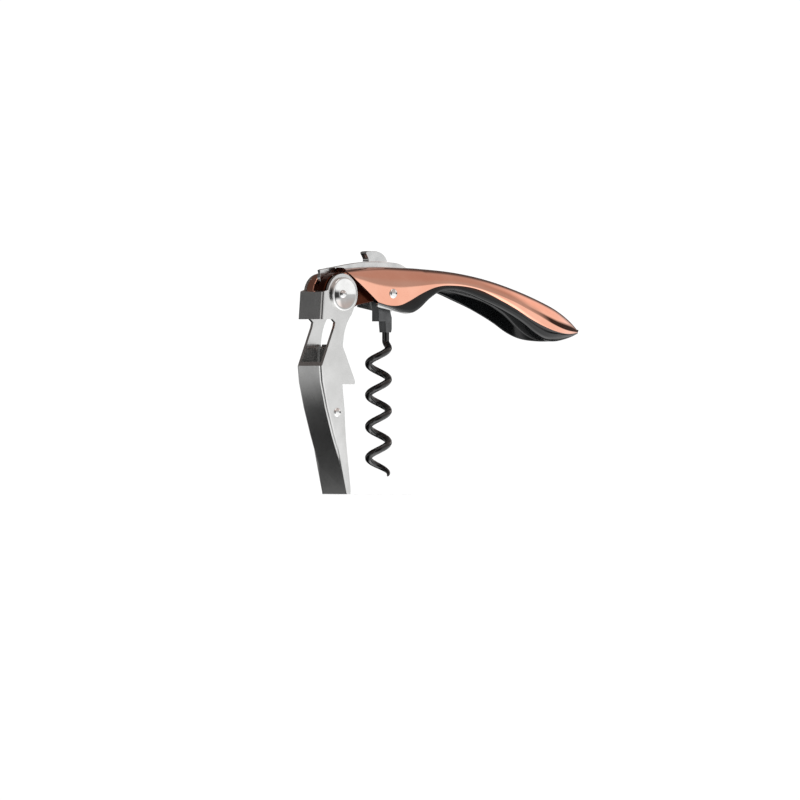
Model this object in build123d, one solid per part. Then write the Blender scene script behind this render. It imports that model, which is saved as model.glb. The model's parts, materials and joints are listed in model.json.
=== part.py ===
from build123d import *
import math
import os

# Lever corkscrew (waiter's friend) standing open on a bottle, in millimetres.
# Frame: Z is the axis of the worm, Z = 0 is the plane of the bottle's lip, the tail points to +X.
# Every piece is drawn about the lever's pivot in side view (x towards the tail, z up), and is
# moved to the frame when it is written.

# ---- places of the four hinges -----------------------------------------------------------
pivot_to_worm = 19.8          # from the lever's pivot to the worm's axis, along X
pivot_above_lip = 26.9        # the first step's sole rests on the lip, this far under the pivot
knife_hinge = (-2.6, 5.0)
step_hinge = (-2.3, -35.3)

# ---- clearances ---------------------------------------------------------------------------
running_gap = 0.05            # radial play of every hinge pin
side_gap = 0.05               # play beside washers and spacers
swing_gap = 0.3               # room round what swings
eye_gap = 0.18                # between the lever's eye and the slanted front of the cheeks
nose_gap = 0.5                # between the handle's nose and the lever's thumb tab
worm_gap = 0.45               # beside the folded worm
step_gap = 0.65               # beside the step, inside the lever
blade_gap = 0.25              # beside the blade, in its slot

# ---- lever ---------------------------------------------------------------------------------
lever_width = 10.5            # outside of the folded channel
lever_sheet = 1.0
fold_radius = 1.0             # outside of the two folds beside the spine
eye_radius = 6.1
lever_length = 59.7           # pivot to the second step
spine_top = 0.6               # top of the spine's tab above the pivot
tab_lean = 0.7                # the tab's foot stands this far behind its top
window_top = 7.5              # cap lifter window, below the pivot
window_bottom = 21.4
second_step_width = 1.6

# ---- pivot ---------------------------------------------------------------------------------
axle_radius = 1.3
cap_radius = 5.0
cap_height = 0.9
dish_radius = 4.3
dish_depth = 0.6
cap_dome_radius = 1.2
washer_radius = 4.2
washer_sheet = 0.3

# ---- first step ----------------------------------------------------------------------------
step_sheet = 1.2
step_pin_radius = 1.0
step_head_radius = 1.35
step_head_height = 0.5
bush_wall = 0.5
spring_wire = 0.5
spring_turns = 3

# ---- handle --------------------------------------------------------------------------------
tail_length = 103.4           # pivot to the end of the tail
nose_margin = 0.4             # the nose stands this far proud of the lever's eye
cheek_wall = 2.0              # shell and insert beside the hub
grip_flare = 1.5              # the grip is this much wider than the cheeks, each side
front_taper = 1.0             # the cheeks are this much narrower at the front, each side
shell_wall = 1.0
shell_roof = 1.6
insert_wall = 0.95
bay_roof = 3.1                # roof of the worm's bay above the pivot, over the hub
bay_before_worm = 6.2         # the bay begins this far before the worm's axis
head_past_worm = 13.2         # the solid head of the shell ends this far past it
lip_length = 2.0              # the insert laps this far under the head block
lip_thickness = 0.35

# ---- worm ----------------------------------------------------------------------------------
worm_diameter = 8.1
wire_diameter = 2.1
worm_pitch = 9.4
worm_turns = 4.2
worm_start = 14.9             # the first turn begins this far under the pivot
hub_thickness = 3.0
hub_width = 4.7
hub_length = 8.1
hub_boss_length = 11.4
hub_wall = 0.1                # beside the wire, where the cast boss is thinnest
worm_pin_radius = 1.0
worm_head_radius = 1.55
worm_head_height = 0.7
spacer_radius = 1.45

# ---- knife ---------------------------------------------------------------------------------
blade_thickness = 1.2
blade_tip = 32.5
knife_slot_floor = 3.5
knife_pin_radius = 0.7
heel_radius = 3.7
thumb_width = 2.6
thumb_start = 13.5
thumb_end = 22.2
thumb_top = 12.9

# ---- small hardware ------------------------------------------------------------------------
frame_plate_sheet = 0.5
screw_radius = 0.9
screw_head_radius = 1.6
screw_head_height = 0.8
screw_places = ((46.0, 2.2), (66.0, -0.9))    # drawn station, and height of the head

# ---- the sizes that the outlines below were drawn for ---------------------------------------
drawn_worm_at = 19.8
drawn_cheek_at = 14.0         # stations past this move with the worm's hinge
drawn_head_end = 33.0         # stations past this stretch to the tail's length
drawn_tail = 103.4
drawn_front_reach = 6.28      # the cheeks' front edge from the pivot, square to the edge
drawn_lever = 59.7

# ---- what follows from them ------------------------------------------------------------------
worm_hinge = (pivot_to_worm, 0.2)
lever_inside = lever_width / 2 - lever_sheet
neck_half = lever_inside - washer_sheet - 2 * side_gap
step_half = lever_inside - step_gap
bay_half_width = worm_diameter / 2 + worm_gap
cheek_half_width = bay_half_width + cheek_wall
grip_half_width = cheek_half_width + grip_flare
front_half_width = cheek_half_width - front_taper
bay_front = pivot_to_worm - bay_before_worm
head_block_end = pivot_to_worm + head_past_worm
nose_radius = eye_radius + nose_margin
front_scale = (eye_radius + eye_gap) / drawn_front_reach
knife_slot_width = blade_thickness + 2 * blade_gap
far = tail_length             # past every side of the tool


def station(x):
    """A drawn station along the handle, moved with the worm's hinge and the tail's length."""
    if x < drawn_cheek_at:
        return x
    if x <= drawn_head_end:
        return x + pivot_to_worm - drawn_worm_at
    stretch = (tail_length - head_block_end) / (drawn_tail - drawn_head_end)
    return head_block_end + (x - drawn_head_end) * stretch


def along_handle(points):
    return [(station(x), z) for x, z in points]


def along_lever(points):
    """Drawn points of the lever; those below the window stretch to the lever's length."""
    stretch = (lever_length - window_bottom) / (drawn_lever - window_bottom)
    return [(x, z if z > -window_bottom else -window_bottom + (z + window_bottom) * stretch)
            for x, z in points]


def face_of(*runs):
    """A closed face from runs of points; each run is a kind ("line" or "curve") and its points."""
    edges = []
    for kind, points in runs:
        run = Spline(*points) if kind == "curve" else Polyline(*points)
        edges += list(run.edges())
    first = runs[0][1][0]
    last = runs[-1][1][-1]
    if math.dist(first, last) > 1e-6:
        edges.append(Line(last, first).edge())
    return make_face(edges)


def slab(face, low, high):
    """A side-view face, given thickness from y = low to y = high."""
    return Pos(0, low, 0) * extrude(Plane.XZ * face, amount=high - low, dir=(0, 1, 0))


def rod(centre, radius, low, high):
    """A round bar along Y about a point of the side view."""
    return slab(Pos(centre[0], centre[1]) * Circle(radius), low, high)


def tube(centre, radius, bore, low, high):
    return rod(centre, radius, low, high) - rod(centre, bore, low - 1, high + 1)


def domed_head(centre, radius, height, seat, side):
    """A rivet head of spherical shape that stands on the plane y = side * seat."""
    ball_radius = (radius * radius + height * height) / (2 * height)
    ball_centre = seat - (ball_radius - height)
    ball = Pos(centre[0], side * ball_centre, centre[1]) * Sphere(ball_radius)
    low, high = sorted((side * seat, side * (seat + height + 1)))
    return ball & rod(centre, radius, low, high)


def both_sides(make):
    """The same piece on the near side (-Y) and on the far side (+Y), as one group."""
    return Compound([make(-1).solid(), make(1).solid()])


# ---- handle --------------------------------------------------------------------------------
def top_line():
    """The top of the handle from the neck to the tail."""
    start = (0.9 * front_scale, 7.1 * front_scale)
    return [start] + along_handle([(7.8, 7.8), (17.3, 8.2), (26.8, 8.0), (37.0, 7.6), (48.3, 6.7),
                                   (59.5, 5.0), (70.7, 2.4), (82.0, -0.9), (91.0, -4.1), (97.8, -7.3),
                                   (drawn_tail, -10.7)])


def cheek_front():
    """Lower end of the cheeks' slanted front edge, which clears the lever's eye."""
    return (station(14.3) + 14.3 * (front_scale - 1), -2.6 * front_scale)


def plan_face(inset):
    """The handle seen from above, drawn inside its outline by the inset."""
    end = tail_length - inset
    side = [(-8.0, front_half_width - inset), (worm_hinge[0], cheek_half_width - inset),
            (station(40.0), grip_half_width - 0.8 - inset), (station(60.0), grip_half_width - inset),
            (station(76.0), grip_half_width - inset), (station(90.0), grip_half_width - 1.8 - inset),
            (station(99.0), grip_half_width * 0.39 - inset * 0.5), (end, 0.0)]
    other = [(x, -y) for x, y in reversed(side)]
    return face_of(("curve", side), ("curve", other))


def plan_block(inset):
    return Pos(0, 0, -far) * extrude(plan_face(inset), amount=2 * far)


def handle_outside():
    """The whole grip: its side outline, cut to its outline from above."""
    front = cheek_front()
    rim = along_handle([(26.1, -5.5), (28.2, -5.55), (31.0, -4.4), (35.0, -1.4), (39.5, 1.0), (45.0, 1.4),
                        (56.3, -1.5), (74.3, -8.6), (84.2, -13.4), (91.0, -14.1), (98.0, -13.0),
                        (drawn_tail - 0.4, -11.8)])
    outline = face_of(("curve", top_line()), ("line", [top_line()[-1], rim[-1]]),
                      ("curve", list(reversed(rim))), ("line", [rim[0], front]))
    return slab(outline, -far, far) & plan_block(0.0)


def above_copper_edge():
    """Everything above the wavy edge where the plated shell meets the black insert."""
    edge = along_handle([(14.3, -2.0), (18.5, -3.3), (23.3, -3.2), (31.2, 0.0), (39.0, 2.3), (52.5, 1.7),
                         (69.8, -4.1), (84.2, -9.9), (96.1, -11.8), (drawn_tail + 3, -11.2)])
    end = edge[-1]
    face = face_of(("curve", edge), ("line", [end, (end[0], far), (-far, far), (-far, -2.0), edge[0]]))
    return slab(face, -far, far)


def shell_hollow():
    """The inside of the shell, which the insert fills."""
    top = [(drawn_head_end, 7.8), (48.3, 6.7), (59.5, 5.0), (70.7, 2.4), (82.0, -0.9), (90.0, -3.8),
           (95.0, -7.0)]
    crown = along_handle([(x, z - shell_roof) for x, z in top])
    face = face_of(("line", [(bay_front, bay_roof), (head_block_end, bay_roof), crown[0]]),
                   ("curve", crown), ("line", [crown[-1], (crown[-1][0], -far), (bay_front, -far)]))
    return slab(face, -far, far) & plan_block(shell_wall)


def worm_bay():
    """The space that the worm folds into, open at the bottom and at the front."""
    lip_start = head_block_end - lip_length
    front = face_of(("line", [(bay_front, bay_roof), (lip_start, bay_roof), (lip_start, -far),
                              (bay_front, -far)]))
    roof = [(lip_start - 0.5, bay_roof - lip_thickness)]
    roof += along_handle([(45.0, 2.2), (60.0, 0.4), (72.0, -2.6), (80.0, -6.4), (86.0, -12.0)])
    end = roof[-1]
    rear = face_of(("curve", roof), ("line", [end, (end[0] + 1, -far), (lip_start - 0.5, -far)]))
    wide = slab(rear, -far, far) & plan_block(shell_wall + insert_wall)
    return slab(front, -bay_half_width, bay_half_width) + wide


def neck():
    """The narrow hinge block that stands between the lever's two plates."""
    x, z = knife_hinge
    block = face_of(("line", [(x, z + 1.7), top_line()[0], (bay_front - 1.6, 7.9), (bay_front + 0.4, 7.9),
                              (bay_front + 0.4, bay_roof - 0.1), (bay_front, bay_roof - 0.1),
                              (bay_front, -2.3), (7.4, -3.3), (2.4, -6.0), (0.0, 0.0)]))
    side = block + Circle(nose_radius) + Pos(x, z) * Circle(1.7)
    return slab(side, -neck_half, neck_half)


def hub_slot():
    """Room in the neck for the hub when the worm swings forward."""
    reach = hub_length + 1
    x, z = worm_hinge
    face = face_of(("line", [(x, bay_roof), (x - 3.0, bay_roof), (x - reach, -1.0), (x - reach, -far),
                             (x, -far)]))
    half = hub_thickness / 2 + swing_gap
    return slab(face, -half, half)


def knife_slot():
    x, z = knife_hinge
    run = face_of(("line", [(x, knife_slot_floor), (blade_tip + 1, knife_slot_floor), (blade_tip + 3, far),
                            (x, far)]))
    side = run + Pos(x, z) * Circle(heel_radius + swing_gap / 1.5)
    half = knife_slot_width / 2
    return slab(side, -half, half)


def screws():
    """Countersunk screws that hold the insert up into the shell."""
    made = []
    for drawn_place, low in screw_places:
        place = station(drawn_place)
        head = Pos(place, 0, low) * extrude(Circle(screw_head_radius), amount=screw_head_height)
        shank = Pos(place, 0, low) * extrude(Circle(screw_radius), amount=3.6)
        made.append((head + shank).solid())
    return Compound(made)


def worm_pin():
    """The hinge pin of the worm, with a domed head on each cheek."""
    pin = rod(worm_hinge, worm_pin_radius, -cheek_half_width, cheek_half_width)
    for side in (-1, 1):
        pin += domed_head(worm_hinge, worm_head_radius, worm_head_height, cheek_half_width - 0.15, side)
    return pin


def pin_recess():
    """Counterbores that let the domed heads sit flat on the cheeks."""
    low = cheek_half_width - 0.15
    return rod(worm_hinge, worm_head_radius, low, far) + rod(worm_hinge, worm_head_radius, -far, -low)


def handle_pieces():
    outside = handle_outside()
    shell = (outside & above_copper_edge()) - shell_hollow()
    shell = shell + neck()
    insert = outside - shell - worm_bay() - slab(Circle(nose_radius + 3), -far, far)
    bores = rod(worm_hinge, worm_pin_radius, -far, far) + pin_recess()
    shell = shell - bores - screws() - hub_slot() - knife_slot()
    shell = shell - rod((0, 0), axle_radius + running_gap, -far, far)
    shell = shell - rod(knife_hinge, knife_pin_radius, -far, far)
    insert = insert - bores - screws()
    return shell, insert


def frame_plate(side):
    """A thin steel liner inside each cheek, which the worm's pin passes through."""
    front = cheek_front()
    end = head_block_end - lip_length - swing_gap
    roof = bay_roof - 0.2
    face = face_of(("line", [(front[0] + 0.9, roof), (end, roof), (end, -3.4), (station(28.5), -5.7),
                             (station(27.3), -5.9), (front[0] + 0.9, -3.8)]))
    low, high = sorted((side * (bay_half_width - frame_plate_sheet), side * bay_half_width))
    return slab(face, low, high) - rod(worm_hinge, worm_pin_radius, -far, far)


def worm_spacer(side):
    """A tube on the worm's pin that keeps the hub in the middle."""
    inner = hub_thickness / 2 + side_gap
    outer = bay_half_width - frame_plate_sheet - side_gap
    low, high = sorted((side * inner, side * outer))
    return tube(worm_hinge, spacer_radius, worm_pin_radius, low, high)


def knife_pin():
    return rod(knife_hinge, knife_pin_radius, -neck_half, neck_half)


# ---- lever ---------------------------------------------------------------------------------
def spine_points(inset):
    """The back of the channel from the second step up to the thumb tab, moved in by the inset."""
    tab_top = -(nose_radius + nose_gap + lever_sheet * 1.1)
    tab_foot = tab_top - tab_lean
    back = along_lever([(-0.6, -51.0), (-4.0, -42.0), (-6.7, -34.0), (-8.7, -26.3)])
    back += [(tab_foot - 0.4, -window_bottom)]
    tab = [(tab_foot, -window_top), (tab_top, spine_top)]
    return [(x + inset, z) for x, z in back], [(x + inset, z) for x, z in tab]


def lever_channel():
    """A folded sheet steel channel: two plates, a spine, the eye, the window and the second step."""
    half = lever_width / 2
    bottom = -lever_length
    back, tab = spine_points(0.0)
    inner = along_lever([(3.5, -6.3), (1.3, -9.7), (0.3, -13.2), (0.0, -20.0), (-0.1, -27.0), (0.7, -34.0),
                         (1.1, -41.0), (1.9, -48.0), (3.3, -58.5)])
    toe = [inner[-1], (3.2, bottom), (3.2 - second_step_width, bottom)]
    outline = face_of(("line", [(0.0, 0.0), (5.15, -3.2), inner[0]]), ("curve", inner), ("line", toe),
                      ("line", [toe[-1]] + back + tab + [(-5.6, 1.4), (-5.0, 3.4), (0.0, 0.0)]))
    outside = slab(outline + Circle(eye_radius), -half, half)
    spine = back + tab
    folds = [edge for edge in outside.edges()
             if all(any(math.dist((end.X, end.Z), point) < 0.01 for point in spine)
                    for end in (edge @ 0, edge @ 1)) and abs((edge @ 0).Y - (edge @ 1).Y) < 0.01]
    outside = fillet(folds, fold_radius)
    back, tab = spine_points(lever_sheet * 1.1)
    room = face_of(("line", [(far, bottom + 1.0), (2.6, bottom + 1.0)] + back + tab
                    + [(-lever_width, far), (far, far)]))
    channel = outside - slab(room, -lever_inside, lever_inside)
    window = face_of(("line", [(-far, -window_top), (-4.2, -window_top), (-3.1, -8.4), (-3.4, -9.8),
                               (-8.6, -window_bottom), (-far, -window_bottom)]))
    channel = channel - slab(window, -far, far)
    channel = channel - rod((0, 0), axle_radius, -far, far)
    return channel - rod(step_hinge, step_pin_radius, -far, far)


def lever_axle():
    return rod((0, 0), axle_radius, -lever_width / 2, lever_width / 2)


def pivot_cap(side):
    """The dished round cap over the lever's eye, with the end of the axle domed in its middle."""
    seat = lever_width / 2
    low, high = sorted((side * seat, side * (seat + cap_height)))
    cap = rod((0, 0), cap_radius, low, high)
    ball_radius = (dish_radius * dish_radius + dish_depth * dish_depth) / (2 * dish_depth)
    ball_centre = side * (seat + cap_height - dish_depth + ball_radius)
    cap = cap - Pos(0, ball_centre, 0) * Sphere(ball_radius)
    dome = domed_head((0, 0), cap_dome_radius, 0.8, seat + cap_height - dish_depth - 0.1, side)
    return cap + dome


def pivot_washer(side):
    low, high = sorted((side * (neck_half + side_gap), side * (lever_inside - side_gap)))
    return tube((0, 0), washer_radius, axle_radius, low, high)


def step_rivet():
    """The lower rivet of the lever, with a domed head on each plate."""
    half = lever_width / 2
    rivet = rod(step_hinge, step_pin_radius, -half, half)
    for side in (-1, 1):
        rivet += domed_head(step_hinge, step_head_radius, step_head_height, half, side)
    return rivet


# ---- first step ----------------------------------------------------------------------------
def step_outline():
    sole = -pivot_above_lip
    side = face_of(("line", [(-3.9, -34.6), (-1.9, -28.0), (-1.2, -22.0), (-1.0, -16.4), (0.0, -15.0),
                             (1.6, -15.5), (6.7, sole + 0.9), (6.5, sole), (0.9, sole), (-0.5, -34.6)]))
    return side + Pos(*step_hinge) * Circle(1.9)


def step_lever():
    """A channel with two forked toes; its sole rests on the bottle's lip."""
    inside = step_half - step_sheet
    body = slab(step_outline(), -step_half, step_half)
    room = face_of(("line", [(-2.5 + step_sheet, -29.0), (-1.2 + step_sheet, -22.0),
                             (-1.0 + step_sheet, -16.4), (-1.0 + step_sheet, -10.0), (far, -10.0),
                             (far, -far), (-far, -far), (-far, -30.5), (-2.7, -30.5)]))
    body = body - slab(room, -inside, inside)
    return body - rod(step_hinge, step_pin_radius + running_gap, -far, far)


def step_bush():
    """A tube on the rivet, between the step's plates, that the spring is wound on."""
    bore = step_pin_radius + running_gap
    half = step_half - step_sheet - side_gap
    return tube(step_hinge, bore + bush_wall, bore, -half, half)


def step_spring():
    """The torsion spring's coil, with one leg up behind the step."""
    radius = step_pin_radius + running_gap + bush_wall + spring_wire / 2 + 0.1
    pitch = spring_wire * 1.4
    height = pitch * spring_turns
    path = Helix(pitch=pitch, height=height, radius=radius)
    start = path @ 0
    profile = Plane(origin=start, z_dir=path % 0) * Circle(spring_wire / 2)
    coil = sweep(profile, path=path, is_frenet=True)
    coil = Pos(step_hinge[0], height / 2, step_hinge[1]) * Rot(90, 0, 0) * coil
    return coil


# ---- worm ----------------------------------------------------------------------------------
def worm_hub():
    """The flat hub that turns on the worm's pin and holds the wire."""
    x, z = worm_hinge
    half = hub_width / 2
    wire = (worm_diameter - wire_diameter) / 2
    outline = Pos(x, z) * Circle(half)
    right = x + wire + wire_diameter / 2 + hub_wall
    left = x - half + 1.1
    boss_left = x + wire - wire_diameter / 2 - hub_wall
    outline += face_of(("line", [(x - half, z), (x + half, z), (x + half + 0.25, -2.5), (right, -7.0),
                                 (right, -hub_boss_length + 1), (right - 0.3, -hub_boss_length),
                                 (boss_left, -hub_boss_length), (boss_left - 0.35, -hub_length),
                                 (left, -hub_length), (left, -3.6)]))
    hub = slab(outline, -hub_thickness / 2, hub_thickness / 2)
    hub = hub - rod(worm_hinge, worm_pin_radius + running_gap, -far, far)
    return hub - Pos(x + wire, 0, -far) * extrude(Circle(wire_diameter / 2), amount=far - hub_length + 2)


def worm_spiral():
    """Round wire: a straight shank in the hub, then a right-handed helix about the worm's axis."""
    x = worm_hinge[0]
    radius = (worm_diameter - wire_diameter) / 2
    height = worm_pitch * worm_turns
    path = Helix(pitch=worm_pitch, height=height, radius=radius)
    profile = Plane(origin=path @ 0, z_dir=path % 0) * Circle(wire_diameter / 2)
    coil = sweep(profile, path=path, is_frenet=True)
    turn = 360 * worm_turns
    coil = Pos(x, 0, -worm_start - height) * Rot(0, 0, -turn) * coil
    shank_top = -hub_length + 2
    shank = Pos(x + radius, 0, -worm_start) * extrude(Circle(wire_diameter / 2),
                                                      amount=shank_top + worm_start)
    knee = Pos(x + radius, 0, -worm_start) * Sphere(wire_diameter / 2 + 0.02)
    return coil + knee + shank


# ---- knife ---------------------------------------------------------------------------------
def knife_blade():
    """The foil knife, closed in its slot; its back stands proud of the handle."""
    x, z = knife_hinge
    back = [(x, z + 2.6), (3.5, 8.5), (11.7, 9.5), (22.8, 9.6), (29.5, 8.6), (blade_tip, 6.6)]
    edge = [(blade_tip, 6.2), (28.0, 4.6), (20.0, 4.0), (1.2, 3.85), (x, z - 2.0)]
    outline = face_of(("curve", back), ("line", [back[-1]] + edge + [back[0]]))
    outline += Pos(x, z) * Circle(2.4)
    outline += face_of(("line", [(x - 1.5, z + 2.4), (x - 2.4, z + 2.2), (x - 1.2, z - 1.8), (x, z),
                                 (x, z + 2.6)]))
    half = blade_thickness / 2
    blade = slab(outline, -half, half)
    return blade - rod(knife_hinge, knife_pin_radius + running_gap, -far, far)


def knife_thumb_tab():
    """The curved thumb piece fixed across the back of the blade."""
    rise = [(thumb_start + 0.9, 9.75), (thumb_start + 0.8, 11.0), (thumb_start, thumb_top - 0.4),
            (thumb_start + 1.6, thumb_top), (thumb_start + 4.6, thumb_top - 0.1), (thumb_end - 1.4, 11.7),
            (thumb_end, 9.75)]
    face = face_of(("curve", rise))
    return slab(face, -thumb_width / 2, thumb_width / 2)


def main():
    shell, insert = handle_pieces()
    nodes = {
        "handle_shell": shell,
        "handle_insert": insert,
        "frame_plate_near": frame_plate(-1),
        "frame_plate_far": frame_plate(1),
        "insert_screws": screws(),
        "worm_pin": worm_pin(),
        "worm_spacers": both_sides(worm_spacer),
        "knife_pin": knife_pin(),
        "lever_channel": lever_channel(),
        "lever_axle": lever_axle(),
        "pivot_cap_near": pivot_cap(-1),
        "pivot_cap_far": pivot_cap(1),
        "pivot_washers": both_sides(pivot_washer),
        "step_rivet": step_rivet(),
        "step_lever": step_lever(),
        "step_bush": step_bush(),
        "step_spring": step_spring(),
        "worm_hub": worm_hub(),
        "worm_spiral": worm_spiral(),
        "knife_blade": knife_blade(),
        "knife_thumb_tab": knife_thumb_tab(),
    }
    os.makedirs("parts", exist_ok=True)
    for name, shape in nodes.items():
        placed = Pos(-pivot_to_worm, 0, pivot_above_lip) * shape
        export_step(placed, f"parts/{name}.step")
        print(name, round(placed.volume, 2), len(placed.solids()))


main()
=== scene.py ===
import bmesh
import bpy
import json
import math
import numpy as np
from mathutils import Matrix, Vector


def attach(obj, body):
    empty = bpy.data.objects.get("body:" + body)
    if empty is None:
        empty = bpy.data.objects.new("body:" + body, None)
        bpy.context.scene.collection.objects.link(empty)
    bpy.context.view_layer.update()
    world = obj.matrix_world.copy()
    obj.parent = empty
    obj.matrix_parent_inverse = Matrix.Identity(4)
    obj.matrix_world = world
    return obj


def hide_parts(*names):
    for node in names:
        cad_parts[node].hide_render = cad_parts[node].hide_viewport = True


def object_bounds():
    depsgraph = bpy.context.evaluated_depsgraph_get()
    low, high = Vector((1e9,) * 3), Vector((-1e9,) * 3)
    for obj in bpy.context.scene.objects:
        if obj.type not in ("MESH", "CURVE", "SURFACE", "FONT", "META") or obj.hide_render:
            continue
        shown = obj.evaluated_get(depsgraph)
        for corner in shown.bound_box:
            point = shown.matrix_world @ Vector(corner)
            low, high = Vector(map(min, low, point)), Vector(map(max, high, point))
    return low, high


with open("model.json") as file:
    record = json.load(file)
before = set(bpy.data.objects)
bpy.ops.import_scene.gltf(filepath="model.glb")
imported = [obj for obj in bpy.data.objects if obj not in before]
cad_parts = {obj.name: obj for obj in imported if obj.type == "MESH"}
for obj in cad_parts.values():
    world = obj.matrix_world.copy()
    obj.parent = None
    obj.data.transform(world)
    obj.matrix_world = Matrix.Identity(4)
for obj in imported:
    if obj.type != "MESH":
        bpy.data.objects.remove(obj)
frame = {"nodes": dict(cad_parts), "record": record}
cadLow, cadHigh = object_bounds()
joints = {joint["name"]: joint for joint in frame["record"]["behaviour"]["joints"]}
pivotX, pivotY, pivotZ = joints["lever_fold"]["pos_m"]
mm = 0.001
print("frame loaded")


# shapes: surfaces are grids of points, turned to meshes in one go

def place(x, y, z):  # millimetres about the lever's pivot, turned to metres in the frame
    x, y, z = np.broadcast_arrays(np.asarray(x, float), np.asarray(y, float), np.asarray(z, float))
    return np.stack([pivotX + x * mm, y * mm, pivotZ + z * mm], axis=-1)


def jointPlace(name):  # a hinge's place in millimetres about the lever's pivot
    spot = joints[name]["pos_m"]
    return (spot[0] - pivotX) / mm, (spot[2] - pivotZ) / mm


def smoothStep(low, high, value):  # 0 to 1 between two limits, eased by 3t^2 - 2t^3
    t = np.clip((value - low) / (high - low), 0, 1)
    return t * t * (3 - 2 * t)


def smoothLine(points):
    # a curve through points: cubic pieces, each point's slope worked out from its two neighbours
    px, pz = np.array(points, float).T
    slope = np.gradient(pz, px)

    def at(x):
        x = np.clip(x, px[0], px[-1])
        i = np.clip(np.searchsorted(px, x) - 1, 0, len(px) - 2)
        span = px[i + 1] - px[i]
        t = (x - px[i]) / span
        return ((2 * t**3 - 3 * t**2 + 1) * pz[i]
                + (t**3 - 2 * t**2 + t) * span * slope[i]
                + (3 * t**2 - 2 * t**3) * pz[i + 1]
                + (t**3 - t**2) * span * slope[i + 1])
    return at


def gridFaces(rows, columns, closeRows=False, closeColumns=False, first=0):
    # four corners of every cell of a grid, wrapped round where it is closed
    r = np.arange(rows if closeRows else rows - 1)[:, None]
    c = np.arange(columns if closeColumns else columns - 1)[None, :]
    rNext, cNext = (r + 1) % rows, (c + 1) % columns
    cell = [r * columns + c, r * columns + cNext, rNext * columns + cNext, rNext * columns + c]
    return (np.stack(np.broadcast_arrays(*cell), axis=-1).reshape(-1, 4) + first).tolist()


def makePiece(name, points, faces, material, sharp=35):  # faces list the numbers of their points
    mesh = bpy.data.meshes.new(name)
    mesh.from_pydata(np.asarray(points).reshape(-1, 3).tolist(), [], faces)
    return finishPiece(name, mesh, material, sharp)


def finishPiece(name, mesh, material, sharp):
    # doubles merged and faces turned outwards, then smooth shading up to an angle in degrees
    work = bmesh.new()
    work.from_mesh(mesh)
    bmesh.ops.remove_doubles(work, verts=work.verts, dist=2e-6)
    bmesh.ops.dissolve_degenerate(work, edges=work.edges, dist=1e-6)
    bmesh.ops.recalc_face_normals(work, faces=work.faces)
    work.to_mesh(mesh)
    work.free()
    mesh.shade_smooth()
    mesh.set_sharp_from_angle(angle=math.radians(sharp))
    piece = bpy.data.objects.new(name, mesh)
    bpy.context.scene.collection.objects.link(piece)
    mesh.materials.append(material)
    return piece


def roundEdges(piece, width, segments=3, angle=32):  # millimetres, on edges sharper than the angle
    bevel = piece.modifiers.new("roundedEdges", "BEVEL")
    bevel.width = width * mm
    bevel.segments = segments
    bevel.limit_method = "ANGLE"
    bevel.angle_limit = math.radians(angle)
    bevel.harden_normals = True
    return piece


def plate(name, outline, low, high, material, edge=0.2):
    # an outline in side view, given thickness along Y: two caps and a wall
    outline = np.asarray(outline, float)
    count = len(outline)
    points = np.concatenate([place(outline[:, 0], low, outline[:, 1]),
                             place(outline[:, 0], high, outline[:, 1])])
    faces = [list(range(count)), list(range(2 * count - 1, count - 1, -1))]
    faces += gridFaces(2, count, closeColumns=True)
    return roundEdges(makePiece(name, points, faces, material), edge)


def turned(name, profile, centre, side, material, steps=72):
    # a profile of radius and height, carried round an axis along Y; height is measured outwards
    radius, height = np.array(profile, float).T
    angle = np.linspace(0, 2 * math.pi, steps, endpoint=False)[:, None]
    points = place(centre[0] + radius * np.cos(angle), side * height + 0 * angle,
                   centre[1] + radius * np.sin(angle))
    return makePiece(name, points, gridFaces(steps, len(radius), closeRows=True), material, sharp=30)


def arc(centre, radius, start, end, count):  # points at even angles, in degrees, on a circle in side view
    angle = np.radians(np.linspace(start, end, count))
    return np.stack([centre[0] + radius * np.cos(angle), centre[1] + radius * np.sin(angle)], axis=1)


def refined(node, material, edge, body):
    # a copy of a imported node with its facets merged, its flats cleaned and its edges rounded
    mesh = frame["nodes"][node].data.copy()
    mesh.materials.clear()
    work = bmesh.new()
    work.from_mesh(mesh)
    bmesh.ops.remove_doubles(work, verts=work.verts, dist=1e-6)
    bmesh.ops.dissolve_limit(work, angle_limit=math.radians(0.6), verts=work.verts, edges=work.edges)
    work.to_mesh(mesh)
    work.free()
    piece = finishPiece(node + "_finished", mesh, material, 28)
    roundEdges(piece, edge)
    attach(piece, body)
    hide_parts(node)
    return piece


# materials

def toLinear(hexColour):  # an sRGB hex value to linear red, green, blue and a full alpha
    parts = [int(hexColour[i:i + 2], 16) / 255 for i in (1, 3, 5)]
    return [p / 12.92 if p <= 0.04045 else ((p + 0.055) / 1.055) ** 2.4 for p in parts] + [1.0]


def addNode(tree, kind, settings=None, links=None):  # settings by socket or property, links by socket
    node = tree.nodes.new(kind)
    for key, value in (settings or {}).items():
        if key in node.inputs:
            node.inputs[key].default_value = value
        else:
            setattr(node, key, value)
    for key, (source, output) in (links or {}).items():
        tree.links.new(source.outputs[output], node.inputs[key])
    return node


def rampStops(node, stops):  # positions along a colour ramp, with their colours
    ramp = node.color_ramp
    while len(ramp.elements) < len(stops):
        ramp.elements.new(0.5)
    for element, (position, colour) in zip(ramp.elements, stops):
        element.position = position
        element.color = colour
    return node


def startMaterial(name, settings):  # a Principled shader with its plain values set on its own sockets
    material = bpy.data.materials.new(name)
    material.use_nodes = True
    tree = material.node_tree
    shader = tree.nodes["Principled BSDF"]
    for key, value in settings.items():
        shader.inputs[key].default_value = value
    coordinates = addNode(tree, "ShaderNodeTexCoord")
    return material, tree, shader, coordinates


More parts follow.
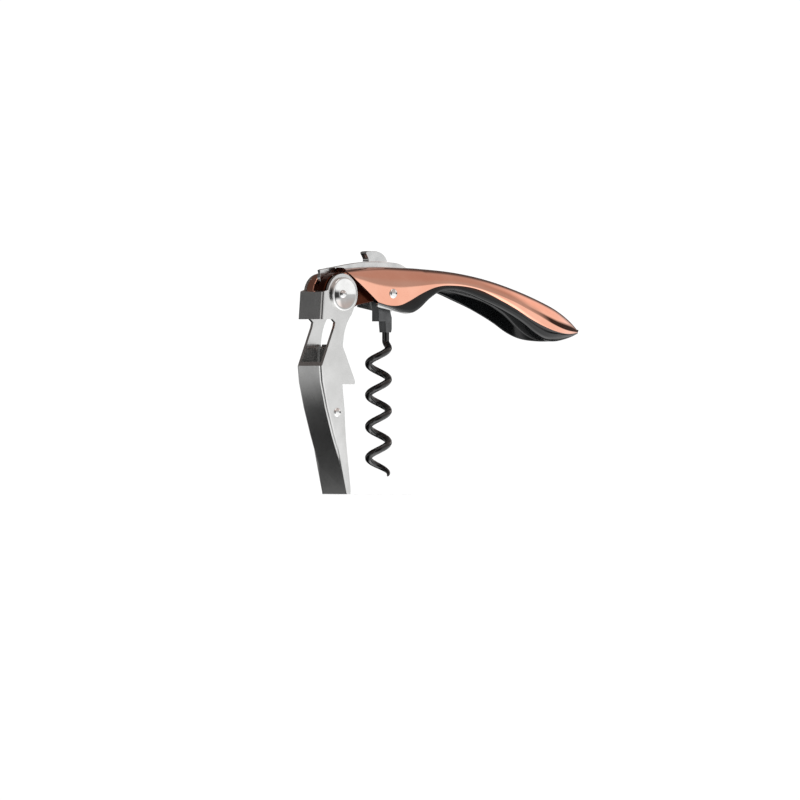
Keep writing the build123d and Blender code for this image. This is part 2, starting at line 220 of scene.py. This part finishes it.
def metal(name, look):
    # colour drifts between two tones, roughness between two limits, and grain or peel lifts the surface
    material, tree, shader, coordinates = startMaterial(name, {"Metallic": 1.0})
    stretch = addNode(tree, "ShaderNodeMapping", {"Scale": look["grainStretch"]},
                      {"Vector": (coordinates, "Object")})
    drift = addNode(tree, "ShaderNodeTexNoise", {"Scale": 1000 / look["driftMm"], "Detail": 4.0},
                    {"Vector": (coordinates, "Object")})
    tone = addNode(tree, "ShaderNodeValToRGB", {}, {"Fac": (drift, "Fac")})
    rampStops(tone, [(0.35, toLinear(look["dark"])), (0.65, toLinear(look["light"]))])
    tree.links.new(tone.outputs["Color"], shader.inputs["Base Color"])
    grain = addNode(tree, "ShaderNodeTexNoise", {
        "Scale": 1000 / look["grainMm"], "Detail": 3.0, "Roughness": 0.6},
        {"Vector": (stretch, "Vector")})
    rough = addNode(tree, "ShaderNodeMapRange", {
        "From Min": 0.3, "From Max": 0.7, "To Min": look["roughness"][0], "To Max": look["roughness"][1]},
        {"Value": (grain, "Fac")})
    tree.links.new(rough.outputs["Result"], shader.inputs["Roughness"])
    peel = addNode(tree, "ShaderNodeBump", {"Strength": look["bump"], "Distance": look["bumpMm"] * mm},
                   {"Height": (grain, "Fac")})
    tree.links.new(peel.outputs["Normal"], shader.inputs["Normal"])
    return material


# copper plating on polished cast zinc: mirror-bright, with a faint orange peel under the plating
copperPlate = metal("copperPlatedZinc", {
    "dark": "#DFA189", "light": "#E5AB94", "driftMm": 9.0, "grainMm": 0.7, "grainStretch": (1, 1, 1),
    "roughness": (0.04, 0.08), "bump": 0.04, "bumpMm": 0.02})
# the same plating with painted shade: a darker brown copy of the copper standing in for shade and dark
# reflections on the recessed neck, the near cheek and the slanted front wall
paintedShadeCopper = metal("copperPlatingPaintedShade", {
    "dark": "#35180F", "light": "#50291B", "driftMm": 3.0, "grainMm": 0.5, "grainStretch": (1, 1, 1),
    "roughness": (0.16, 0.28), "bump": 0.08, "bumpMm": 0.02})
# rolled stainless sheet, tumbled in a vibrating tub: a soft satin with short crossing scratches
tumbledSteel = metal("tumbledStainless", {
    "dark": "#D2D2D1", "light": "#DCDCDB", "driftMm": 6.0, "grainMm": 0.22, "grainStretch": (1, 1, 0.35),
    "roughness": (0.17, 0.27), "bump": 0.10, "bumpMm": 0.02})
# turned and buffed stainless: nearly a mirror, hairlines only at an angle
buffedSteel = metal("buffedStainless", {
    "dark": "#D6D6D5", "light": "#E2E2E1", "driftMm": 3.0, "grainMm": 0.3, "grainStretch": (1, 1, 1),
    "roughness": (0.05, 0.10), "bump": 0.04, "bumpMm": 0.01})
# ground blade steel: fine parallel grinding lines across the blade
groundSteel = metal("groundBladeSteel", {
    "dark": "#C9CACA", "light": "#DEDEDD", "driftMm": 4.0, "grainMm": 0.18, "grainStretch": (1, 1, 0.08),
    "roughness": (0.12, 0.24), "bump": 0.12, "bumpMm": 0.02})
# zinc casting with a dark nickel plate: grey, softly grained from the mould
darkZinc = metal("darkNickelZinc", {
    "dark": "#5E5F60", "light": "#6C6D6E", "driftMm": 2.0, "grainMm": 0.25, "grainStretch": (1, 1, 1),
    "roughness": (0.30, 0.42), "bump": 0.18, "bumpMm": 0.03})
# drawn spring wire: darker and greyer than the sheet, with fine die lines
springSteel = metal("drawnSpringSteel", {
    "dark": "#7E7F82", "light": "#97989A", "driftMm": 1.0, "grainMm": 0.12, "grainStretch": (1, 1, 1),
    "roughness": (0.2, 0.32), "bump": 0.08, "bumpMm": 0.01})
# brass tube, turned: yellow, with rings left by the tool
turnedBrass = metal("turnedBrass", {
    "dark": "#B08D4A", "light": "#CBA662", "driftMm": 1.5, "grainMm": 0.15, "grainStretch": (1, 5, 1),
    "roughness": (0.18, 0.3), "bump": 0.08, "bumpMm": 0.01})


def plastic(name, look):
    # moulded or coated: a plain body colour with a slightly uneven gloss and a faint flow texture
    material, tree, shader, coordinates = startMaterial(name, {
        "IOR": look["ior"], "Coat Weight": look["coat"], "Coat Roughness": look["coatRoughness"]})
    flow = addNode(tree, "ShaderNodeTexNoise", {"Scale": 1000 / look["flowMm"], "Detail": 3.0},
                   {"Vector": (coordinates, "Object")})
    tone = addNode(tree, "ShaderNodeValToRGB", {}, {"Fac": (flow, "Fac")})
    rampStops(tone, [(0.35, toLinear(look["dark"])), (0.65, toLinear(look["light"]))])
    tree.links.new(tone.outputs["Color"], shader.inputs["Base Color"])
    fine = addNode(tree, "ShaderNodeTexNoise", {"Scale": 1000 / look["fineMm"], "Detail": 2.0},
                   {"Vector": (coordinates, "Object")})
    gloss = addNode(tree, "ShaderNodeMapRange", {
        "From Min": 0.3, "From Max": 0.7, "To Min": look["roughness"][0], "To Max": look["roughness"][1]},
        {"Value": (fine, "Fac")})
    tree.links.new(gloss.outputs["Result"], shader.inputs["Roughness"])
    skin = addNode(tree, "ShaderNodeBump", {"Strength": look["bump"], "Distance": 0.02 * mm},
                   {"Height": (fine, "Fac")})
    tree.links.new(skin.outputs["Normal"], shader.inputs["Normal"])
    return material


# ABS moulded in a polished tool: deep black, with a clear wet gloss
blackAbs = plastic("mouldedBlackAbs", {
    "dark": "#0B0C0D", "light": "#121415", "flowMm": 6.0, "fineMm": 0.5, "roughness": (0.10, 0.18),
    "ior": 1.42, "coat": 0.08, "coatRoughness": 0.06, "bump": 0.05})
# non-stick coating baked on steel wire: glossy black, a little uneven from the dip
coatedWire = plastic("bakedNonStickCoating", {
    "dark": "#050505", "light": "#0D0D0D", "flowMm": 2.0, "fineMm": 0.35, "roughness": (0.12, 0.22),
    "ior": 1.45, "coat": 0.5, "coatRoughness": 0.08, "bump": 0.12})
# acetal sheet, punched: waxy off-white with a dull sheen
paleAcetal = plastic("punchedAcetal", {
    "dark": "#CFCFC9", "light": "#DDDDD7", "flowMm": 1.0, "fineMm": 0.2, "roughness": (0.35, 0.45),
    "ior": 1.48, "coat": 0.0, "coatRoughness": 0.1, "bump": 0.08})
print("materials ready")


# the handle: a plated shell over a black insert, and the neck that the lever hinges on

# one key sets how far back from the pivot, in millimetres, the front wall's faces get the copper with
# painted shade
handle = {
    "tail": 103.4, "tailRound": 88.0, "slotHalf": 0.85, "slotEnd": 34.6, "frontTop": (0.9, 7.1),
    "frontFoot": (14.3, -2.4), "frontReturn": (0.35, 0.1), "paintedShadeTo": 16.0, "crownShare": 0.62,
    "crownPower": 2.5, "tuck": 0.09, "wall": 1.0, "edge": 0.12,
}
# lines in side view: the back, the crease under it, the copper's lower edge, the insert's rim and the
# bay's roof
handleTop = smoothLine([
    (0.0, 7.0), (7.8, 7.8), (17.3, 8.2), (26.8, 8.0), (37.0, 7.6), (48.3, 6.7), (59.5, 5.0), (70.7, 2.4),
    (82.0, -0.9), (91.0, -4.1), (97.8, -7.4), (103.4, -10.9)])
handleShoulder = smoothLine([
    (0.0, 6.3), (7.8, 4.3), (14.0, 2.9), (21.4, 2.2), (30.0, 2.5), (38.0, 3.1), (46.0, 3.0), (56.0, 1.4),
    (66.8, -1.5), (79.0, -6.0), (91.0, -9.9), (103.4, -11.2)])
copperEdge = smoothLine([
    (0.0, -1.2), (9.0, -1.6), (14.3, -2.4), (18.5, -3.3), (23.3, -3.2), (27.0, -1.9), (31.2, 0.0),
    (35.0, 1.4), (39.0, 2.3), (45.0, 2.5), (52.5, 1.7), (60.8, -0.6), (69.8, -4.1), (77.0, -7.4),
    (84.2, -9.9), (90.0, -11.2), (96.1, -11.7), (103.4, -11.3)])
rimEdge = smoothLine([
    (14.3, -2.7), (20.0, -4.1), (26.1, -5.5), (28.2, -5.5), (31.0, -4.3), (35.0, -1.4), (39.5, 0.9),
    (45.0, 1.4), (50.3, 0.4), (56.3, -1.5), (65.3, -4.7), (74.3, -8.7), (79.0, -11.3), (84.2, -13.3),
    (91.0, -14.0), (98.0, -13.0), (103.4, -11.5)])
bayRoof = smoothLine([
    (14.3, 3.1), (30.5, 3.1), (33.0, 2.8), (45.0, 2.2), (60.0, 0.4), (72.0, -2.6), (80.0, -6.6),
    (91.0, -11.5)])
planLine = smoothLine([  # half width seen from above
    (-8.0, 5.4), (6.0, 6.0), (19.8, 6.5), (40.0, 7.2), (60.0, 7.95), (76.0, 7.95), (84.0, 7.3),
    (90.0, 6.3), (103.4, 3.5)])


def planHalf(x):  # half width seen from above, rounded to nothing at the tail
    run = np.clip((x - handle["tailRound"]) / (handle["tail"] - handle["tailRound"]), 0, 1)
    return planLine(x) * (1 - run**2) ** 0.72


def copperSection(x, v):
    # crown: quarter of a superellipse from the top to the shoulder; below it the side tucks under
    top, shoulder, edge = handleTop(x), handleShoulder(x), copperEdge(x)
    half = planHalf(x)
    slot = handle["slotHalf"] * (1 - smoothStep(handle["slotEnd"] - 1.2, handle["slotEnd"] + 0.2, x))
    share, power = handle["crownShare"], 2 / handle["crownPower"]
    theta = np.clip(v / share, 0, 1) * math.pi / 2
    under = np.clip((v - share) / (1 - share), 0, 1)
    y = slot + (half - slot) * np.sin(theta) ** power - half * handle["tuck"] * under**2
    z = np.where(v < share, shoulder + (top - shoulder) * np.cos(theta) ** power,
                 shoulder + (edge - shoulder) * under)
    return y, z


def shadedFrontWall(shell):
    # 1 for the faces of the slanted front wall, which get the copper with painted shade, and 0 elsewhere:
    # near the front, and facing forwards more than sideways
    middle = np.empty((len(shell.data.polygons), 3))
    normal = np.empty_like(middle)
    shell.data.polygons.foreach_get("center", middle.ravel())
    shell.data.polygons.foreach_get("normal", normal.ravel())
    early = middle[:, 0] < pivotX + handle["paintedShadeTo"] * mm
    return (early & (np.abs(normal[:, 1]) < 0.45) & (normal[:, 0] < -0.2)).astype(int)


def copperShell():
    # one side is a grid: stations along the handle, each with its section from the slot to the edge
    share = handle["crownShare"]
    v = np.concatenate([np.linspace(0, 1, 30) ** 1.6 * share, np.linspace(share, 1, 16)[1:]])
    (topX, topZ), (footX, footZ) = handle["frontTop"], handle["frontFoot"]
    lean = (footX - topX) / (topZ - footZ)
    front = np.full_like(v, topX)
    for _ in range(30):  # the front edge follows the slanted cut of the cheeks
        front = 0.5 * front + 0.5 * (topX + (topZ - copperSection(front, v)[1]) * lean)
    s = np.linspace(0, 1, 190)
    u = (0.55 * s + 0.45 * np.sin(s * math.pi / 2))[:, None]
    x = front + (handle["tail"] - front) * u
    y, z = copperSection(x, v[None, :])
    inner = np.minimum(y[:1], neck["half"] - 0.1)  # the front wall runs in to the neck
    x = np.concatenate([x[:1] + handle["frontReturn"][0], x])
    y = np.concatenate([inner, y])
    z = np.concatenate([z[:1] - handle["frontReturn"][1], z])
    grids = [place(x, side * y, z) for side in (-1, 1)]
    rows, columns = x.shape
    faces = gridFaces(rows, columns)
    faces += [face[::-1] for face in gridFaces(rows, columns, first=rows * columns)]
    points = np.concatenate([grid.reshape(-1, 3) for grid in grids])
    shell = makePiece("copper_shell", points, faces, copperPlate, 40)
    # the slanted front wall gets the darker copper: painted shade
    shell.data.materials.append(paintedShadeCopper)
    shell.data.polygons.foreach_set("material_index", shadedFrontWall(shell))
    wall = shell.modifiers.new("wall", "SOLIDIFY")
    wall.thickness = handle["wall"] * mm
    wall.offset = -1
    roundEdges(shell, handle["edge"], 2, 50)
    return shell


neck = {"half": 3.85, "nose": 6.5, "cheekEdge": 0.3, "webNose": 6.2, "knifeGap": 3.9, "webEdge": 0.1}


def neckPieces():
    # two cheeks round the pivot, and between them a web with a hollow for the knife's heel; the near
    # cheek and the web get the darker copper as painted shade, the far cheek the bright copper
    inner, outer = handle["slotHalf"], neck["half"]
    cheek = np.concatenate([arc((0, 0), neck["nose"], 100, 292, 48),
                            [(7.4, -3.3), (14.5, -2.1), (16.0, 2.8), (16.0, 6.4), (8.0, 6.2)]])
    web = np.concatenate([arc((0, 0), neck["webNose"], 178, 292, 24),
                          [(7.4, -3.1), (11.2, -2.4), (11.2, 3.4), (1.2, 3.4)],
                          arc(jointPlace("knife_open"), neck["knifeGap"], 312, 210, 16)])
    return [plate("neck_cheek_near", cheek, -outer, -inner, paintedShadeCopper, neck["cheekEdge"]),
            plate("neck_cheek_far", cheek, inner, outer, copperPlate, neck["cheekEdge"]),
            plate("neck_web", web, -inner, inner, paintedShadeCopper, neck["webEdge"])]


insert = {
    "start": 14.4, "tailGap": 0.5, "bayHalf": 4.5, "bayWidens": (28.0, 38.0), "bayCloses": (77.0, 91.0),
    "rimGrows": (52, 96), "rimOuter": (0.45, 3.0), "rimDrop": (0.45, 1.9), "rimInner": 0.3,
    "seat": 0.9, "lid": 0.35, "tipHeight": -11.7,
}


def blackInsert():
    # each station is a closed wall: over the top, down the outside, round the rim, up the inside and
    # under the roof; the rim's corners are quarter ellipses
    s = np.linspace(0, 1, 170)
    start, end = insert["start"], handle["tail"] - insert["tailGap"]
    x = (start + (end - start) * (0.6 * s + 0.4 * np.sin(s * math.pi / 2)))[:, None]
    top, low = copperEdge(x), np.minimum(rimEdge(x), copperEdge(x) - 0.15)
    outer = planHalf(x) * (1 - handle["tuck"])
    closing = smoothStep(*insert["bayCloses"], x)
    bay = insert["bayHalf"] + (planHalf(x) - 6.5) * smoothStep(*insert["bayWidens"], x)
    bay = np.maximum(bay * np.sqrt(np.clip(1 - closing**2, 0, 1)), 0.02)
    bay = np.minimum(bay, outer * 0.93)
    roof = bayRoof(x) * (1 - closing) + (low + 0.02) * closing
    roof = np.maximum(roof, low + 0.02)
    grown = smoothStep(*insert["rimGrows"], x)
    turnY = np.minimum(insert["rimOuter"][0] + insert["rimOuter"][1] * grown, (outer - bay) * 0.8)
    turnZ = np.minimum(insert["rimDrop"][0] + insert["rimDrop"][1] * grown, (top - low) * 0.8)
    theta = np.linspace(0, math.pi / 2, 9)[None, :]
    outerArcY = outer - turnY * (1 - np.cos(theta))
    outerArcZ = low + turnZ * (1 - np.sin(theta))
    small = np.minimum(insert["rimInner"], (outer - bay - turnY) * 0.5)
    small = np.minimum(small, np.maximum(roof - low, 0.01) * 0.5)
    innerArcY = bay + small * (1 - np.sin(theta))
    innerArcZ = low + small * (1 - np.cos(theta))
    middle = np.zeros_like(x)
    seat = top + insert["seat"]
    lid = np.maximum(roof + insert["lid"], seat)
    y = np.concatenate([middle, np.minimum(bay + 0.3, outer - 1.25), outer - 1.2, outer - 0.15, outer,
                        outerArcY, innerArcY, bay, bay * 0.97, bay * 0.9, bay * 0.5, middle], axis=1)
    z = np.concatenate([lid, lid, seat, top + 0.15, top - 0.03, outerArcZ, innerArcZ,
                        roof - (roof - low) * 0.15, roof - (roof - low) * 0.04, roof, roof, roof], axis=1)
    near = place(x, -y, z)
    far = place(x, y, z)[:, ::-1][:, 1:-1]
    ring = np.concatenate([near, far], axis=1)
    rows, columns = ring.shape[:2]
    tip = place(np.full((1, columns), x[-1, 0] + 0.3), 0, insert["tipHeight"])
    ring = np.concatenate([ring, tip])
    faces = gridFaces(rows + 1, columns, closeColumns=True)
    faces.append(list(range(columns)))
    return makePiece("black_insert", ring, faces, blackAbs, 62)


for piece in [copperShell()] + neckPieces():
    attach(piece, "handle")
    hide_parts("handle_shell")
inlay = blackInsert()
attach(inlay, "handle")
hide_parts("handle_insert")
print("handle made")


# hinge pins and caps

caps = {"radius": 5.0, "seat": 5.25, "height": 0.95, "lip": 0.3, "dishRadius": 4.25, "dishDepth": 0.75,
        "domeRadius": 1.2, "domeHeight": 0.75}
pins = {  # radius of the shaft, half length, then radius and height of the domed head
    "worm": {"shaft": 1.0, "half": 6.42, "headRadius": 1.5, "headHeight": 0.75},
    "step": {"shaft": 1.0, "half": 5.25, "headRadius": 1.35, "headHeight": 0.6},
}


def dishedCap(name, side):
    # from the centre out: a small dome, a hollow dish, a rounded rim, a straight wall to the plate
    seat, rim, lipRadius = caps["seat"], caps["radius"], caps["lip"]
    top = seat + caps["height"]
    domeTurn = np.linspace(0, math.pi / 2, 8)
    dome = np.stack([caps["domeRadius"] * np.sin(domeTurn),
                     top - caps["dishDepth"] + caps["domeHeight"] * np.cos(domeTurn)], axis=1)
    run = np.linspace(0.32, 1, 12)
    hollow = np.stack([caps["dishRadius"] * run, top - caps["dishDepth"] * (1 - run**2.4)], axis=1)
    lipTurn = np.linspace(math.pi / 2, 0, 7)
    lip = np.stack([rim - lipRadius + lipRadius * np.cos(lipTurn),
                    top - lipRadius + lipRadius * np.sin(lipTurn)], axis=1)
    wall = [(rim, seat), (0, seat)]
    profile = np.concatenate([dome, hollow, lip, wall])
    return turned(name, profile, (0, 0), side, buffedSteel)


def domedPin(name, centre, pin):
    # half of the profile: a quarter ellipse for the head, its short side, then in to the shaft
    turn = np.linspace(0, math.pi / 2, 8)
    under = pin["half"] - 0.12
    head = np.stack([pin["headRadius"] * np.sin(turn),
                     pin["half"] + pin["headHeight"] * np.cos(turn)], axis=1)
    profile = np.concatenate([head, [(pin["headRadius"], under), (pin["shaft"], under)]])
    other = profile[::-1] * np.array([1, -1])
    return turned(name, np.concatenate([profile, other]), centre, 1, buffedSteel, 48)


for node, side in (("pivot_cap_near", -1), ("pivot_cap_far", 1)):
    cap = dishedCap(node + "_polished", side)
    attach(cap, "lever")
    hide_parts(node)
wormPin = domedPin("worm_pin_polished", jointPlace("worm_fold"), pins["worm"])
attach(wormPin, "handle")
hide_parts("worm_pin")
stepPin = domedPin("step_rivet_polished", jointPlace("step_swing"), pins["step"])
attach(stepPin, "lever")
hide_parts("step_rivet")
print("pins made")


# the worm and its hub

worm = {"radius": 3.0, "wire": 1.05, "pitch": 9.4, "turns": 4.2, "start": 14.9, "ease": 2.0, "point": 7.0,
        "tip": 0.06, "shankTop": 6.4}


def wireWorm():
    # the wire runs straight down, eases into a right-handed helix, and narrows to a point over its last
    # turn; each ring of the tube is a circle across the wire
    axisX = jointPlace("worm_fold")[0]
    end = worm["start"] + worm["pitch"] * worm["turns"]
    depth = np.linspace(worm["shankTop"], end, 620)
    fall = np.clip(depth - worm["start"] + worm["ease"] / 2, 0, None)
    eased = np.where(fall < worm["ease"], fall**2 / (2 * worm["ease"]), fall - worm["ease"] / 2)
    angle = -eased / worm["pitch"] * 2 * math.pi
    centre = np.stack([axisX + worm["radius"] * np.cos(angle), worm["radius"] * np.sin(angle), -depth],
                      axis=1)
    along = np.gradient(centre, axis=0)
    along /= np.linalg.norm(along, axis=1, keepdims=True)
    out = np.stack([np.cos(angle), np.sin(angle), 0 * angle], axis=1)
    out -= along * np.sum(out * along, axis=1, keepdims=True)
    out /= np.linalg.norm(out, axis=1, keepdims=True)
    beside = np.cross(along, out)
    left = np.clip((end - depth) / worm["point"], 0, 1)
    thick = worm["wire"] * (worm["tip"] + (1 - worm["tip"]) * np.sqrt(1 - (1 - left) ** 2))
    turn = np.linspace(0, 2 * math.pi, 24, endpoint=False)
    ring = (centre[:, None] + thick[:, None, None] * (out[:, None] * np.cos(turn)[None, :, None]
            + beside[:, None] * np.sin(turn)[None, :, None]))
    points = place(ring[..., 0], ring[..., 1], ring[..., 2])
    rows, columns = points.shape[:2]
    faces = gridFaces(rows, columns, closeColumns=True)
    faces += [list(range(columns)), list(range(rows * columns - 1, (rows - 1) * columns - 1, -1))]
    return makePiece("worm_wire", points, faces, coatedWire, 60)


wire = wireWorm()
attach(wire, "worm")
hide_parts("worm_spiral")
refined("worm_hub", darkZinc, 0.16, "worm")
print("worm made")


# the lever, its step and the knife keep their CAD shape, with edges rounded

refined("lever_channel", tumbledSteel, 0.14, "lever")
refined("step_lever", tumbledSteel, 0.14, "step")
refined("knife_blade", groundSteel, 0.12, "knife")
refined("knife_thumb_tab", groundSteel, 0.9, "knife")

carried = {
    "frame_plate_near": buffedSteel, "frame_plate_far": buffedSteel, "insert_screws": buffedSteel,
    "worm_spacers": turnedBrass, "knife_pin": buffedSteel, "lever_axle": buffedSteel,
    "pivot_washers": paleAcetal, "step_bush": turnedBrass, "step_spring": springSteel,
}
for node, material in carried.items():
    slots = frame["nodes"][node].data.materials
    slots.clear()
    slots.append(material)
print("lever, step and knife finished")


# floor, light and camera

studio = {
    "lens": 1000.0, "width": 0.2388, "azimuth": -44.0, "centreRight": 20.7, "centreDown": 31.6,
    "floorColour": "#FCFCFC", "floorHalf": 12.0, "floorGap": 0.0002, "room": 1.06,
}


def paleFloor():
    size = studio["floorHalf"]
    low = cadLow[2] - studio["floorGap"]
    mesh = bpy.data.meshes.new("floor")
    mesh.from_pydata([(-size, -size, low), (size, -size, low), (size, size, low), (-size, size, low)], [],
                     [(0, 1, 2, 3)])
    floor = bpy.data.objects.new("floor", mesh)
    bpy.context.scene.collection.objects.link(floor)
    material = startMaterial("paintedFloor", {
        "Base Color": toLinear(studio["floorColour"]), "Roughness": 1.0, "Specular IOR Level": 0.0})[0]
    mesh.materials.append(material)
    floor.visible_glossy = False


def softLight(name, spot, size, power, target):  # a square panel at a spot, facing its target
    data = bpy.data.lights.new(name, "AREA")
    data.shape = "SQUARE"
    data.size = size
    data.energy = power
    light = bpy.data.objects.new(name, data)
    light.location = spot
    light.rotation_mode = "QUATERNION"
    light.rotation_quaternion = (Vector(target) - Vector(spot)).to_track_quat("-Z", "Y")
    bpy.context.scene.collection.objects.link(light)


# brightness of the room by direction; an edge is where one turns into the next, as a height or a side
mirrored = {
    "tableEdge": (-0.85, -0.6), "table": 2.2, "front": 1.25,
    "skyEdge": (-0.015, 0.03), "sky": 0.50, "warmEdge": (0.12, 0.4), "warmSky": (1.0, 0.86, 0.81, 1.0),
    "flagEdge": (0.78, 0.88), "flagFoot": (-0.12, -0.03), "flagTop": (0.09, 0.17), "flag": 0.05,
    "stripFoot": (-0.36, -0.16), "stripHead": (-0.12, 0.02), "strip": 0.50,
    "clothSide": (0.10, 0.45), "clothEdge": (-0.5, 0.1), "clothLow": 0.015, "clothHigh": 0.11,
    "cameraSide": (-0.695, -0.719, 0.0), "cameraEdge": (0.80, 0.92), "cameraDark": 0.06,
}


def studioSky():
    # what the metal mirrors, fixed in the room: a bright table and front wall, a dimmer sky, a dark flag
    # on the right, a dark patch on the side where the camera stands, and dark cloth behind that opens on
    # a grey strip just under the horizon; all else sees an even white room
    look = mirrored
    world = bpy.data.worlds.new("studio")
    bpy.context.scene.world = world
    world.use_nodes = True
    tree = world.node_tree
    tree.nodes.clear()
    coordinates = addNode(tree, "ShaderNodeTexCoord")
    split = addNode(tree, "ShaderNodeSeparateXYZ", {}, {"Vector": (coordinates, "Generated")})

    def ramp(axis, edges, before, after):
        return addNode(tree, "ShaderNodeMapRange", {
            "From Min": edges[0], "From Max": edges[1], "To Min": before, "To Max": after},
            {"Value": (split, axis)})

    def combine(operation, first, second):
        node = addNode(tree, "ShaderNodeMath", {"operation": operation})
        tree.links.new(first.outputs[0], node.inputs[0])
        tree.links.new(second.outputs[0], node.inputs[1])
        return node

    def blend(share, first, second):
        node = addNode(tree, "ShaderNodeMix", {"data_type": "FLOAT"})
        for socket, source in enumerate((share, None, first, second)):
            if source:
                tree.links.new(source.outputs[0], node.inputs[socket])
        return node

    table = ramp("Z", look["tableEdge"], look["table"], look["front"])
    sky = combine("MULTIPLY", table, ramp("Z", look["skyEdge"], 1.0, look["sky"]))
    flag = combine("MULTIPLY", ramp("Z", look["flagFoot"], look["front"] / look["flag"], 1.0),
                   ramp("Z", look["flagTop"], look["flag"], look["front"]))
    sky = blend(ramp("X", look["flagEdge"], 0.0, 1.0), sky, flag)
    strip = combine("MULTIPLY", ramp("Z", look["stripFoot"], 0.0, look["strip"]),
                    ramp("Z", look["stripHead"], 1.0, 0.0))
    facing = addNode(tree, "ShaderNodeVectorMath", {"operation": "DOT_PRODUCT"},
                     {0: (coordinates, "Generated")})
    facing.inputs[1].default_value = look["cameraSide"]
    dark = addNode(tree, "ShaderNodeMapRange", {
        "From Min": look["cameraEdge"][0], "From Max": look["cameraEdge"][1], "To Min": 1.0,
        "To Max": look["cameraDark"]}, {"Value": (facing, "Value")})
    sky = combine("MULTIPLY", sky, dark)
    cloth = combine("ADD", strip, ramp("Z", look["clothEdge"], look["clothLow"], look["clothHigh"]))
    light = blend(ramp("Y", look["clothSide"], 0.0, 1.0), sky, cloth)
    warm = addNode(tree, "ShaderNodeMixRGB", {"Color1": (1, 1, 1, 1), "Color2": look["warmSky"]},
                   {"Fac": (ramp("Z", look["warmEdge"], 0.0, 1.0), "Result")})
    seen = addNode(tree, "ShaderNodeBackground", {}, {"Color": (warm, "Color")})
    tree.links.new(light.outputs[0], seen.inputs["Strength"])
    plain = addNode(tree, "ShaderNodeBackground", {"Color": (1, 1, 1, 1), "Strength": studio["room"]})
    path = addNode(tree, "ShaderNodeLightPath")
    mix = addNode(tree, "ShaderNodeMixShader", {}, {"Fac": (path, "Is Glossy Ray")})
    tree.links.new(plain.outputs["Background"], mix.inputs[1])
    tree.links.new(seen.outputs["Background"], mix.inputs[2])
    addNode(tree, "ShaderNodeOutputWorld", {}, {"Surface": (mix, "Shader")})


def standingCamera():
    # level and far off with a long lens, so its view is nearly parallel; aimed beside and below the pivot
    azimuth = math.radians(studio["azimuth"])
    back = Vector((math.sin(azimuth), -math.cos(azimuth), 0))
    right = Vector((math.cos(azimuth), math.sin(azimuth), 0))
    centre = Vector((pivotX, 0, pivotZ)) + right * studio["centreRight"] * mm
    centre.z -= studio["centreDown"] * mm
    data = bpy.data.cameras.new("camera")
    data.lens = studio["lens"]
    data.sensor_width = 36.0
    distance = studio["width"] * data.lens / data.sensor_width
    data.clip_start, data.clip_end = 0.5, 40.0
    camera = bpy.data.objects.new("camera", data)
    camera.location = centre + back * distance
    camera.rotation_mode = "QUATERNION"
    camera.rotation_quaternion = (-back).to_track_quat("-Z", "Y")
    bpy.context.scene.collection.objects.link(camera)
    bpy.context.scene.camera = camera


paleFloor()
studioSky()
softLight("softboxAbove", (-0.10, 0.0, 0.9), 0.5, 1.5, (0.02, 0, 0))
standingCamera()
bpy.context.scene.view_settings.view_transform = "Standard"
print("studio ready")
